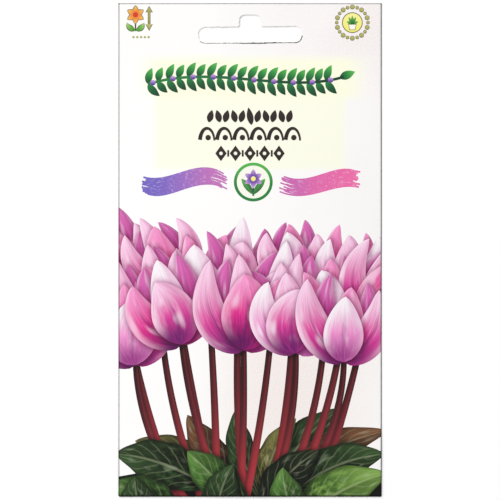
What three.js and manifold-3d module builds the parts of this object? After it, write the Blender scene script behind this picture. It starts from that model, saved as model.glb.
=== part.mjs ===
// A sealed paper seed packet, lying on its back. One printed sheet is folded into a flat tube, lapped and
// glued down the back, turned up in a glued flap at the bottom and glued flat at the top, where the hang
// slot is punched through both walls. A foil sachet of loose seeds lies inside.
// Millimetres. The origin is at the bottom centre of the packet's box, +X is to the right of the printed
// front, +Y goes up to the slotted edge and +Z comes out of the front.
import * as THREE from "three";
import { mergeVertices } from "three/addons/utils/BufferGeometryUtils.js";
import Module from "manifold-3d";

const wasm = await Module();
wasm.setup();

// Driving dimensions of the packet
const PACKET_WIDTH = 80;
const PACKET_LENGTH = 150;
const PAPER = 0.16;
const GLUE = 0.08;
const BULGE = 2.4; // how far the sachet pushes the front up
const BULGE_FULLNESS_ACROSS = 2.2; // the higher, the flatter on top and the steeper at the edges
const BULGE_FULLNESS_ALONG = 2.6;

// Back seam, bottom flap and header
const SEAM_LEFT = -7;
const SEAM_RIGHT = 7;
const FLAP_LENGTH = 14;
const FLAP_TAPER = 3; // how much narrower the flap's free edge is at each side
const HEADER_LENGTH = 17;
const RAMP = 1.5; // the paper takes this far to climb onto the next layer
const RAMP_CLEARANCE = 0.3; // and is up this far before the edge that it climbs over
const GLUE_MARGIN = 1.2; // bare paper left beside a glue line
const GLUE_GAP = 0.01;

// Hang slot
const SLOT_WIDTH = 31.4;
const SLOT_LOBE_HEIGHT = 4.9;
const SLOT_HEIGHT = 8.5;
const SLOT_BUMP_WIDTH = 6.6;
const SLOT_TO_TOP_EDGE = 3.5;
const SLOT_TILT_DEG = 0.5; // it was punched a little askew
const SLOT_END_ROUND = 2.4;
const SLOT_BUMP_ROUND = 2;
const SLOT_NECK_ROUND = 0.6;

// Foil sachet and seeds
const FOIL = 0.08;
const SACHET_WIDTH = 46;
const SACHET_LENGTH = 62;
const SACHET_SEAL = 6;
const SACHET_X = -2;
const SACHET_Y = -14;
const SACHET_TURN_DEG = 4;
const POCKET_DEPTH = 2;
const POCKET_FULLNESS = 2.5;
const SACHET_CLEARANCE = 0.02;
const SEED_SIZE = [2.3, 1.9, 1.5];
const SEED_PLACES = [[-4.2, -3.1], [0.4, -4.6], [3.9, -1.2], [-1.3, 0.4], [1.6, 3.8]];
const SEED_ROUGHNESS = 0.09;

// How finely the sheets are divided
const FRONT_STEP = 4.6;
const LENGTH_STEP = 6.2;
const FOLD_STEPS = 4;
const FOIL_STEPS_ACROSS = 14;
const FOIL_STEPS_ALONG = 18;
const CURVE_STEPS = 6;

// Worked out from them
const LAYER = PAPER + GLUE; // how far one glued layer lifts the next
const RIGHT_EDGE = PACKET_WIDTH / 2;
const TOP_EDGE = PACKET_LENGTH / 2;
const BOTTOM_EDGE = -PACKET_LENGTH / 2;
const SIDE_FOLD_OUTER = PAPER + GLUE / 2;
const SIDE_FOLD_INNER = GLUE / 2;
const SIDE_FOLD_X = RIGHT_EDGE - SIDE_FOLD_OUTER;
const BOTTOM_FOLD_OUTER = PAPER + GLUE;
const BOTTOM_FOLD_Y = BOTTOM_EDGE + BOTTOM_FOLD_OUTER;
const FLAP_TOP = BOTTOM_EDGE + FLAP_LENGTH;
const HEADER_BOTTOM = TOP_EDGE - HEADER_LENGTH;
const SLOT_TOP = TOP_EDGE - SLOT_TO_TOP_EDGE;
const SLOT_FOOT = SLOT_TOP - SLOT_HEIGHT;
const SACHET_BASE = LAYER + PAPER + SACHET_CLEARANCE; // on the lapped seam, the highest part of the back

const { clamp, degToRad, lerp, smoothstep } = THREE.MathUtils;

// ---- How high each layer of paper lies ----

// 1 where the back lies on the bottom flap, falling to 0 above the flap's free edge.
function onFlap(y) {
  const start = FLAP_TOP + RAMP_CLEARANCE;
  return 1 - smoothstep(y, start, start + RAMP);
}

// 1 where the back's left part lies on its right part, falling to 0 to the left of the lap.
function onLap(x) {
  const end = SEAM_LEFT - RAMP_CLEARANCE;
  return smoothstep(x, end - RAMP, end);
}

// 1 where the front lies on both parts of the back, falling to 0 on either side of the lap.
function onSeam(x) {
  const start = SEAM_RIGHT + RAMP_CLEARANCE;
  return onLap(x) * (1 - smoothstep(x, start, start + RAMP));
}

// A low dome of height 1 over -1 to 1 that falls to 0 at both ends.
function dome(place, fullness) {
  return 1 - Math.min(1, Math.abs(place)) ** fullness;
}

// The lower faces of the three walls.
function backRightZ(y) {
  return LAYER * onFlap(y);
}
function backLeftZ(x, y) {
  return LAYER * (onFlap(y) + onLap(x));
}
function frontZ(x, y) {
  const alongBody = (2 * (y - BOTTOM_FOLD_Y)) / (HEADER_BOTTOM - BOTTOM_FOLD_Y) - 1;
  const bulge = dome(x / SIDE_FOLD_X, BULGE_FULLNESS_ACROSS) * dome(alongBody, BULGE_FULLNESS_ALONG);
  return LAYER * (1 + (onFlap(y) + onSeam(x)) * (1 - bulge)) + BULGE * bulge;
}

// ---- Sheets as closed solids ----

// Places about step apart, from the first of the breaks to the last, with one at each break.
function stations(breaks, step) {
  const places = [breaks[0]];
  for (const [i, high] of breaks.slice(1).entries()) {
    const low = breaks[i];
    const count = Math.max(1, Math.round(Math.abs(high - low) / step));
    for (let k = 1; k <= count; k += 1) places.push(lerp(low, high, k / count));
  }
  return places;
}

// A sheet of columns by rows cells. place(column, row, side) is where each of its corners goes, with side
// 0 on one face and 1 on the face that columns and rows turn counter-clockwise on.
function sheet(columns, rows, place) {
  const box = new THREE.BoxGeometry(1, 1, 1, columns, rows, 1);
  box.deleteAttribute("normal");
  box.deleteAttribute("uv");
  const closed = mergeVertices(box);
  const corners = closed.getAttribute("position");
  for (let i = 0; i < corners.count; i += 1) {
    const column = Math.round((corners.getX(i) + 0.5) * columns);
    const row = Math.round((corners.getY(i) + 0.5) * rows);
    const side = corners.getZ(i) > 0 ? 1 : 0;
    corners.setXYZ(i, ...place(column, row, side));
  }
  return closed;
}

function solidOf(geometry) {
  const mesh = new wasm.Mesh({
    numProp: 3,
    vertProperties: new Float32Array(geometry.getAttribute("position").array),
    triVerts: new Uint32Array(geometry.index.array),
  });
  return new wasm.Manifold(mesh);
}

function geometryOf(solid) {
  const mesh = solid.getMesh();
  const geometry = new THREE.BufferGeometry();
  geometry.setAttribute("position", new THREE.BufferAttribute(mesh.vertProperties, mesh.numProp));
  geometry.setIndex(new THREE.BufferAttribute(mesh.triVerts, 1));
  return geometry;
}

// ---- The paper ----

const frontStations = stations(
  [
    -SIDE_FOLD_X,
    SEAM_LEFT - RAMP_CLEARANCE - RAMP,
    SEAM_LEFT - RAMP_CLEARANCE,
    SEAM_RIGHT + RAMP_CLEARANCE,
    SEAM_RIGHT + RAMP_CLEARANCE + RAMP,
    SIDE_FOLD_X,
  ],
  FRONT_STEP,
);
const lengthStations = stations(
  [BOTTOM_FOLD_Y, FLAP_TOP + RAMP_CLEARANCE, FLAP_TOP + RAMP_CLEARANCE + RAMP, HEADER_BOTTOM, TOP_EDGE],
  LENGTH_STEP,
);

// One corner of a wall: the outside of the packet is up on the front and down on the back.
function wallCorner(x, y, lowerZ, isUpper) {
  return [x, y, lowerZ + (isUpper ? PAPER : 0)];
}

// One corner of a side fold. turn goes from 0 on the back to 1 on the front.
function sideFoldCorner(side, turn, y, isOuter) {
  const radius = isOuter ? SIDE_FOLD_OUTER : SIDE_FOLD_INNER;
  const angle = Math.PI * (turn - 0.5);
  const x = SIDE_FOLD_X + radius * Math.cos(angle);
  const z = backRightZ(y) + SIDE_FOLD_OUTER + radius * Math.sin(angle);
  return [side * x, y, z];
}

// The folded tube. Across it, the sheet runs from the hidden edge of the lap to the left along the back,
// round the left fold, over the front, round the right fold and back to the lap's open edge.
function tube() {
  const backLeft = stations(
    [SEAM_RIGHT, SEAM_LEFT - RAMP_CLEARANCE, SEAM_LEFT - RAMP_CLEARANCE - RAMP, -SIDE_FOLD_X],
    2 * FRONT_STEP,
  );
  const backRight = stations([SIDE_FOLD_X, SEAM_LEFT], 2 * FRONT_STEP);
  const turns = stations([0, 1], 1 / FOLD_STEPS).slice(1, -1);
  const strip = [
    ...backLeft.map((x) => (y, side) => wallCorner(x, y, backLeftZ(x, y), side === 0)),
    ...turns.map((turn) => (y, side) => sideFoldCorner(-1, turn, y, side === 1)),
    ...frontStations.map((x) => (y, side) => wallCorner(x, y, frontZ(x, y), side === 1)),
    ...turns.toReversed().map((turn) => (y, side) => sideFoldCorner(1, turn, y, side === 1)),
    ...backRight.map((x) => (y, side) => wallCorner(x, y, backRightZ(y), side === 0)),
  ];
  return sheet(strip.length - 1, lengthStations.length - 1, (column, row, side) =>
    strip[column](lengthStations[row], side),
  );
}

// The flap goes on from the front's lower edge, round the bottom fold and up the outside of the back.
function bottomFlap() {
  const flapStations = stations([FLAP_TOP, BOTTOM_FOLD_Y], FLAP_LENGTH / 2);
  const turns = stations([0, 1], 1 / FOLD_STEPS).slice(1);
  const path = [
    ...flapStations.map((y) => ({ y, turn: 0 })),
    ...turns.map((turn) => ({ y: BOTTOM_FOLD_Y, turn })),
  ];
  return sheet(frontStations.length - 1, path.length - 1, (column, row, side) => {
    const { y, turn } = path[row];
    const front = frontStations[column];
    const narrowing = (FLAP_TAPER / SIDE_FOLD_X) * ((y - BOTTOM_FOLD_Y) / FLAP_LENGTH);
    const x = front * (1 - narrowing);
    const inner = { low: PAPER, high: frontZ(front, BOTTOM_FOLD_Y), reach: GLUE };
    const outer = { low: 0, high: inner.high + PAPER, reach: BOTTOM_FOLD_OUTER };
    const { low, high, reach } = side === 1 ? outer : inner;
    if (turn === 1) return [x, y, high];
    const middle = (low + high) / 2;
    const angle = Math.PI * (turn - 0.5);
    return [x, y - reach * Math.cos(angle) * Math.sign(turn), middle + (high - middle) * Math.sin(angle)];
  });
}

// A polygon whose corners, each given as [x, y, how far it is rounded], are eased by curves.
function roundedShape(corners) {
  const shape = new THREE.Shape();
  const points = corners.map(([x, y]) => new THREE.Vector2(x, y));
  points.forEach((corner, i) => {
    const before = points.at(i - 1).clone().sub(corner).setLength(corners[i][2]).add(corner);
    const after = points[(i + 1) % points.length].clone().sub(corner).setLength(corners[i][2]).add(corner);
    if (i === 0) shape.moveTo(before.x, before.y);
    else shape.lineTo(before.x, before.y);
    shape.quadraticCurveTo(corner.x, corner.y, after.x, after.y);
  });
  return shape;
}

// The punch: two level lobes with a raised middle, where the packet hangs on a peg.
function slotPunch() {
  const shoulder = SLOT_FOOT + SLOT_LOBE_HEIGHT;
  const end = SLOT_WIDTH / 2;
  const neck = SLOT_BUMP_WIDTH / 2;
  const shape = roundedShape([
    [-end, SLOT_FOOT, SLOT_END_ROUND],
    [end, SLOT_FOOT, SLOT_END_ROUND],
    [end, shoulder, SLOT_END_ROUND],
    [neck, shoulder, SLOT_NECK_ROUND],
    [neck, SLOT_TOP, SLOT_BUMP_ROUND],
    [-neck, SLOT_TOP, SLOT_BUMP_ROUND],
    [-neck, shoulder, SLOT_NECK_ROUND],
    [-end, shoulder, SLOT_END_ROUND],
  ]);
  const depth = 2 * BULGE;
  const middle = SLOT_FOOT + SLOT_LOBE_HEIGHT / 2;
  const punch = new THREE.ExtrudeGeometry(shape, { depth, bevelEnabled: false, curveSegments: CURVE_STEPS });
  punch.translate(0, -middle, -BULGE);
  punch.rotateZ(degToRad(SLOT_TILT_DEG));
  punch.translate(0, middle, 0);
  punch.deleteAttribute("normal");
  punch.deleteAttribute("uv");
  return solidOf(mergeVertices(punch));
}

const punch = slotPunch();
const envelopeSolid = solidOf(tube()).add(solidOf(bottomFlap())).subtract(punch);

// ---- The glue ----

// A film of glue between two walls, over the given places across and along.
function glueFilm(across, along, lowerZ, upperZ) {
  return sheet(across.length - 1, along.length - 1, (column, row, side) => {
    const x = across[column];
    const y = along[row];
    return [x, y, side === 1 ? upperZ(x, y) - GLUE_GAP : lowerZ(x, y) + GLUE_GAP];
  });
}

// The parts of a list of stations that lie between two places, with the places themselves.
function between(list, low, high) {
  return [low, ...list.filter((place) => place > low && place < high), high];
}

// The glue between the two laps of the back, over the given stretch of it.
function seamGlue(low, high) {
  return glueFilm(
    [SEAM_LEFT + GLUE_MARGIN, SEAM_RIGHT - GLUE_MARGIN],
    between(lengthStations, low, high),
    (x, y) => backRightZ(y) + PAPER,
    (x, y) => backLeftZ(x, y),
  );
}

const seamGlueBelowSlot = seamGlue(BOTTOM_FOLD_Y + GLUE_MARGIN, SLOT_FOOT - GLUE_MARGIN);
const seamGlueAboveSlot = solidOf(seamGlue(SLOT_FOOT + GLUE_MARGIN, TOP_EDGE - GLUE_MARGIN)).subtract(punch);
const flapGlue = glueFilm(
  [FLAP_TAPER - SIDE_FOLD_X + GLUE_MARGIN, SIDE_FOLD_X - FLAP_TAPER - GLUE_MARGIN],
  [BOTTOM_FOLD_Y + GLUE_MARGIN, FLAP_TOP - GLUE_MARGIN],
  () => PAPER,
  (x, y) => backRightZ(y),
);
const headerGlueSolid = solidOf(
  glueFilm(
    between(frontStations, GLUE_MARGIN - SIDE_FOLD_X, SIDE_FOLD_X - GLUE_MARGIN),
    [HEADER_BOTTOM + GLUE_MARGIN, TOP_EDGE - GLUE_MARGIN],
    (x) => LAYER * onSeam(x) + PAPER,
    (x, y) => frontZ(x, y),
  ),
).subtract(punch);

// ---- The sachet and the seeds ----

// How far the sachet's two foils stand apart, at a place measured from its middle.
function pocketDepth(x, y) {
  const halfWidth = SACHET_WIDTH / 2 - SACHET_SEAL;
  const halfLength = SACHET_LENGTH / 2 - SACHET_SEAL;
  return POCKET_DEPTH * dome(x / halfWidth, POCKET_FULLNESS) * dome(y / halfLength, POCKET_FULLNESS);
}

// A foil from its lower face's height above the sachet's base.
function foil(lowerZ) {
  return sheet(FOIL_STEPS_ACROSS, FOIL_STEPS_ALONG, (column, row, side) => {
    const x = SACHET_WIDTH * (column / FOIL_STEPS_ACROSS - 0.5);
    const y = SACHET_LENGTH * (row / FOIL_STEPS_ALONG - 0.5);
    return [x, y, lowerZ(x, y) + (side === 1 ? FOIL : 0)];
  });
}

// A rough rounded seed that stands on z = 0. Each one's own number gives it its own lumps.
function seedGeometry(number) {
  const ball = new THREE.IcosahedronGeometry(0.5, 2);
  ball.deleteAttribute("normal");
  ball.deleteAttribute("uv");
  const seed = mergeVertices(ball);
  const points = seed.getAttribute("position");
  const point = new THREE.Vector3();
  for (let i = 0; i < points.count; i += 1) {
    point.fromBufferAttribute(points, i);
    const ends = Math.sin(7 * point.x + 2.1 * number);
    const sides = Math.sin(6 * point.y + 1.3 * number) * Math.cos(5 * point.z);
    point.multiplyScalar(1 + SEED_ROUGHNESS * clamp(ends + sides, -1, 1));
    points.setXYZ(i, point.x * SEED_SIZE[0], point.y * SEED_SIZE[1], point.z * SEED_SIZE[2]);
  }
  seed.rotateZ(number);
  seed.computeBoundingBox();
  seed.translate(0, 0, SACHET_CLEARANCE - seed.boundingBox.min.z);
  return seed;
}

// ---- The assembled packet ----

const printedPaper = new THREE.MeshStandardMaterial({ color: 0xf4efe9, roughness: 0.55, metalness: 0 });
const glue = new THREE.MeshStandardMaterial({ color: 0xe9e2cf, roughness: 0.4, metalness: 0 });
const silverFoil = new THREE.MeshStandardMaterial({ color: 0xc9ccce, roughness: 0.35, metalness: 0.9 });
const seedSkin = new THREE.MeshStandardMaterial({ color: 0x6a4026, roughness: 0.8, metalness: 0 });

function piece(name, geometry, material) {
  const mesh = new THREE.Mesh(geometry, material);
  mesh.name = name;
  return mesh;
}

const sachet = new THREE.Group();
sachet.position.set(SACHET_X, SACHET_Y, SACHET_BASE);
sachet.rotation.z = degToRad(SACHET_TURN_DEG);
sachet.add(piece("sachet_back_foil", foil(() => 0), silverFoil));
sachet.add(piece("sachet_front_foil", foil((x, y) => FOIL + pocketDepth(x, y)), silverFoil));
for (const [i, [x, y]] of SEED_PLACES.entries()) {
  const seed = piece(`seed_${i + 1}`, seedGeometry(i + 1), seedSkin);
  seed.position.set(x, y, FOIL);
  sachet.add(seed);
}

const packet = new THREE.Group();
packet.add(piece("paper_envelope", geometryOf(envelopeSolid), printedPaper));
packet.add(piece("back_seam_glue", seamGlueBelowSlot, glue));
packet.add(piece("back_seam_glue_above_slot", geometryOf(seamGlueAboveSlot), glue));
packet.add(piece("bottom_flap_glue", flapGlue, glue));
packet.add(piece("header_glue", geometryOf(headerGlueSolid), glue));
packet.add(sachet);

export default packet;
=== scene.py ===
"""A sealed paper seed packet with a printed front, lying on its back.

The sheet of paper is laid out flat, as it is printed and cut: the front in the middle, a part of the
back on either side of it and the glued flap below. Each printed shape is an area of the sheet's own
mesh. The sheet is then folded into the packet. Places on the flat sheet are in millimetres, and x and
y on its front are the packet's own. A foil sachet with seeds lies inside.
"""

import math
import random

import bpy
import numpy as np
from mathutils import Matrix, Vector
from mathutils.geometry import delaunay_2d_cdt


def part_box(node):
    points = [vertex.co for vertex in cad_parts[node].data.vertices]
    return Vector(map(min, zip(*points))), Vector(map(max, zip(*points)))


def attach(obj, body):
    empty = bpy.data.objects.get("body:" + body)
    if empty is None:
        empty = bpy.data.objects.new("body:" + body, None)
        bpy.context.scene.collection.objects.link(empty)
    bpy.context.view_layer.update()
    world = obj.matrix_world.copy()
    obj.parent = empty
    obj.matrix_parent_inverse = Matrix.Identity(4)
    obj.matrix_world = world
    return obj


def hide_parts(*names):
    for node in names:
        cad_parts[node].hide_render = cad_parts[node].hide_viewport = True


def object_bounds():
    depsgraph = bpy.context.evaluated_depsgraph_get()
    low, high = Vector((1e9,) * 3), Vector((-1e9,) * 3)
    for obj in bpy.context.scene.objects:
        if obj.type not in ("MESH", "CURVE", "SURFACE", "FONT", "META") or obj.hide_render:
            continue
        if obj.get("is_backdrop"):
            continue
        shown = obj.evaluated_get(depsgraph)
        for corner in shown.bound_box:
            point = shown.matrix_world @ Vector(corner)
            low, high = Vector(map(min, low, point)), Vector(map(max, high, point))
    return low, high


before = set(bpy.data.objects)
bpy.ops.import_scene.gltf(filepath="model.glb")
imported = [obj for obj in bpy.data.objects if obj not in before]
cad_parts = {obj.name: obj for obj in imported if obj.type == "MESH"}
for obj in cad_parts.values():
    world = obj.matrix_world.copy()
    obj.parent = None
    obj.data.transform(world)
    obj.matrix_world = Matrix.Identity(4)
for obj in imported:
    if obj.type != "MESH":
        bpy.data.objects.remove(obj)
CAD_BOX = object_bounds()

MM = 0.001

# The packet's size, from the frame
PACKET_LOW, PACKET_HIGH = (np.array(corner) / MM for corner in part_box("paper_envelope"))
RIGHT_EDGE = PACKET_HIGH[0]
TOP_EDGE = PACKET_HIGH[1]
BOTTOM_EDGE = PACKET_LOW[1]

# How the sheet is folded and glued
PAPER = 0.16
GLUE = 0.08
LAYER = PAPER + GLUE
BULGE = 2.4
BULGE_FULLNESS_ACROSS = 2.2
BULGE_FULLNESS_ALONG = 2.6
SEAM_LEFT = -7
SEAM_RIGHT = 7
FLAP_LENGTH = 14
FLAP_TAPER = 3
HEADER_LENGTH = 17
RAMP = 1.5
SOFT_RAMP = 9
SOFT_BEND = 4
PUCKER = 0.05
PUCKER_BANDS = ((54, 2.8, 1), (-70.5, 2.2, 0.8))  # the height, the reach and the strength of each
SACHET_TRACE = 0.1  # how far the sachet and the seeds show through the front
SEED_TRACE = 0.13
SACHET_CENTRE = np.array([-2, -14])
SACHET_TURN = math.radians(4)
SACHET_WIDTH = 46
SACHET_LENGTH = 62
SACHET_SEAL = 6
SACHET_CLEARANCE = 0.02
SACHET_LIFT = LAYER + PAPER + SACHET_CLEARANCE  # the sachet lies on the lapped seam
FOIL_SPACE = 0.08
FOIL = 0.06
FOIL_CELLS = (70, 124)
POCKET_DEPTH = 1.98
POCKET_FULLNESS = 2.5
CRIMP_HEIGHT = 0.04
CRIMP_PITCH = 2
TOOTH_PITCH = 2
TOOTH_DEPTH = 0.8
SEED_SIZE = np.array([2.3, 1.9, 1.5])
SEED_PLACES = [(-4.2, -3.1), (0.4, -4.6), (3.9, -1.2), (-1.3, 0.4), (1.6, 3.8)]
RAMP_CLEARANCE = 0.3
SIDE_FOLD_OUTER = PAPER + GLUE / 2
SIDE_FOLD_INNER = GLUE / 2
SIDE_FOLD = RIGHT_EDGE - SIDE_FOLD_OUTER
SIDE_FOLD_ARC = math.pi * SIDE_FOLD_OUTER
BOTTOM_FOLD_OUTER = PAPER + GLUE
BOTTOM_FOLD = BOTTOM_EDGE + BOTTOM_FOLD_OUTER
BOTTOM_FOLD_ARC = math.pi * (BOTTOM_FOLD_OUTER + PAPER / 2)
FLAP_TOP = BOTTOM_EDGE + FLAP_LENGTH
HEADER_BOTTOM = TOP_EDGE - HEADER_LENGTH

# The punched slot
SLOT_WIDTH = 31.4
SLOT_LOBE_HEIGHT = 4.9
SLOT_HEIGHT = 8.5
SLOT_BUMP_WIDTH = 6.6
SLOT_TOP = TOP_EDGE - 3.5
SLOT_FOOT = SLOT_TOP - SLOT_HEIGHT
SLOT_TILT = math.radians(0.5)
SLOT_END_ROUND = 2.4
SLOT_BUMP_ROUND = 2
SLOT_NECK_ROUND = 0.6
SLOT_ROUGHNESS = 0.05

# The flat sheet
BACK_START = SIDE_FOLD + SIDE_FOLD_ARC  # where the back begins, left and right of the front
SHEET_RIGHT = BACK_START + SIDE_FOLD - SEAM_LEFT
SHEET_LEFT = -(BACK_START + SIDE_FOLD + SEAM_RIGHT)
FLAP_START = BOTTOM_FOLD - BOTTOM_FOLD_ARC
FLAP_END = FLAP_START - (FLAP_LENGTH - BOTTOM_FOLD_OUTER)
FRONT_REACH = SIDE_FOLD + SIDE_FOLD_ARC / 2  # the front's print ends in the middle of the side folds
FRONT_STEP = 1.3
BACK_STEP = 3.0
INSIDE_STEP = 3.2
OUTLINE_STEP = 0.8
FOLD_LINES = 3

# The photograph's frame
FRAME_PIXELS = 500
PIXELS_PER_MM = 3.289
CAMERA_LENS = 200
CAMERA_SENSOR = 36

# The studio: each light's place and width in metres, and its power in watts
LIGHTS = [("key", (-1.3, 1.1, 2.65), 3.0, 84), ("fill", (1.8, -1.0, 2.8), 1.6, 16)]
WORLD_STRENGTH = 0.34
FLOOR_SIZE = 6


# ---- Camera, light and floor ----


def add_camera():
    across = FRAME_PIXELS / PIXELS_PER_MM
    data = bpy.data.cameras.new("camera")
    data.lens = CAMERA_LENS
    data.sensor_width = CAMERA_SENSOR
    data.clip_start = 0.01
    data.clip_end = 10
    camera = bpy.data.objects.new("camera", data)
    camera.location = (0, 0, across * CAMERA_LENS / CAMERA_SENSOR * MM)
    bpy.context.collection.objects.link(camera)
    bpy.context.scene.camera = camera


def add_studio():
    for name, place, width, power in LIGHTS:
        data = bpy.data.lights.new(name, "AREA")
        data.shape = "DISK"
        data.size = width
        data.energy = power
        light = bpy.data.objects.new(name, data)
        light.location = place
        light.rotation_euler = (-Vector(place)).to_track_quat("-Z", "Y").to_euler()
        bpy.context.collection.objects.link(light)
    world = bpy.data.worlds.new("studio")
    world.use_nodes = True
    background = world.node_tree.nodes["Background"]
    background.inputs["Color"].default_value = (1, 1, 1, 1)
    background.inputs["Strength"].default_value = WORLD_STRENGTH
    bpy.context.scene.world = world
    bpy.context.scene.view_settings.view_transform = "Standard"


# ---- Materials ----


def linear(hex_colour):
    """An sRGB colour such as "f0a0c8" in the linear values that nodes use."""
    parts = [int(hex_colour[i : i + 2], 16) / 255 for i in (0, 2, 4)]
    return tuple(c / 12.92 if c <= 0.04045 else ((c + 0.055) / 1.055) ** 2.4 for c in parts)


class Wire:
    """A value or a colour in a material, so that sums on values read as plain expressions."""

    def __init__(self, finish, socket):
        self.finish = finish
        self.socket = socket

    def sum(self, operation, *terms):
        return self.finish.node("Math", {"operation": operation}, dict(enumerate(terms)))

    def __add__(self, other):
        return self.sum("ADD", self, other)

    def __sub__(self, other):
        return self.sum("SUBTRACT", self, other)

    def __rsub__(self, other):
        return self.sum("SUBTRACT", other, self)

    def __mul__(self, other):
        return self.sum("MULTIPLY", self, other)

    __radd__, __rmul__ = __add__, __mul__

    def __abs__(self):
        return self.sum("ABSOLUTE", self)

    def sine(self):
        return self.sum("SINE", self)

    def rise(self, low, high):
        """0 below low, 1 above high and a smooth step between them. It falls if low is the higher."""
        ends = {"Value": self, "From Min": min(low, high), "From Max": max(low, high)}
        ends["To Min"], ends["To Max"] = (0, 1) if low < high else (1, 0)
        return self.finish.node("MapRange", {"interpolation_type": "SMOOTHSTEP"}, ends)


class Finish:
    """A material that is built from expressions."""

    def __init__(self, name, **constants):
        self.material = bpy.data.materials.new(name)
        self.material.use_nodes = True
        self.tree = self.material.node_tree
        self.shader = self.tree.nodes["Principled BSDF"]
        for socket, value in constants.items():
            self.shader.inputs[socket.replace("_", " ")].default_value = value

    def node(self, kind, settings, values, output=0):
        """Adds a node with its settings. Values and wires go to its sockets by name or place."""
        made = self.tree.nodes.new("ShaderNode" + kind)
        for name, setting in settings.items():
            setattr(made, name, setting)
        for key, value in values.items():
            if isinstance(value, Wire):
                self.tree.links.new(value.socket, made.inputs[key])
            else:
                made.inputs[key].default_value = value
        return Wire(self, made.outputs[output])

    def drive(self, socket, wire):
        self.tree.links.new(wire.socket, self.shader.inputs[socket])

    def read(self, attribute, output="Color"):
        return self.node("Attribute", {"attribute_name": attribute}, {}, output)

    def parts(self, attribute):
        vector = self.read(attribute, "Vector")
        return [self.node("SeparateXYZ", {}, {0: vector}, part) for part in "XYZ"]

    def place(self, x, y, z=0.0):
        return self.node("CombineXYZ", {}, {0: x, 1: y, 2: z})

    def noise(self, place, scale, detail=2.0, roughness=0.5):
        values = {"Vector": place, "Scale": scale, "Detail": detail, "Roughness": roughness}
        return self.node("TexNoise", {}, values, "Fac")

    def grain(self, scale, detail=2.0, roughness=0.5):
        """Noise that is fixed to the piece."""
        return self.noise(self.node("TexCoord", {}, {}, "Object"), scale, detail, roughness)

    def mix(self, factor, first, second, blend="MIX"):
        """Colour first, or second where factor is 1."""
        pair = [c if isinstance(c, Wire) else (*c, 1) for c in (first, second)]
        values = {"Factor": factor, 6: pair[0], 7: pair[1]}
        return self.node("Mix", {"data_type": "RGBA", "blend_type": blend}, values, 2)

    def layers(self, ground, *layers):
        """Colours over a ground, from the lowest up, each after how much it covers."""
        for cover, colour in layers:
            ground = self.mix(cover, ground, colour)
        return ground

    def colour(self, factor, first, second):
        """Gives the surface two colours, which run into each other by factor."""
        self.drive("Base Color", self.mix(factor, linear(first), linear(second)))

    def bump(self, height, distance, strength=1.0):
        values = {"Height": height, "Distance": distance, "Strength": strength}
        self.drive("Normal", self.node("Bump", {}, values, "Normal"))


PAPER_WHITE = linear("fcfbfa")
# A rosy grey, used both as the paper's tint and as painted shade
PAPER_ROSE_TINT_AND_SHADE = linear("f1e9e8")
PAPER_WARM = linear("f3e9e5")
GLOW_YELLOW = linear("fbfce0")
PANEL_YELLOW = linear("fbfbe4")

# Soft areas of the front's ground: their middle, their half sizes at the outer end of their soft edge
# and at its inner end, and how far that edge wanders
PANEL_AREA = ((0, 36), (31, 12.5), (27, 10.5), (0.3, 0.2))
WARM_AREA = ((12, -42), (32, 30), (4, 8), (1, 1))
GLOW_AREA = ((1, 52.3), (37, 8), (27, 4.2), (0.5, 0.25))


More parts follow.
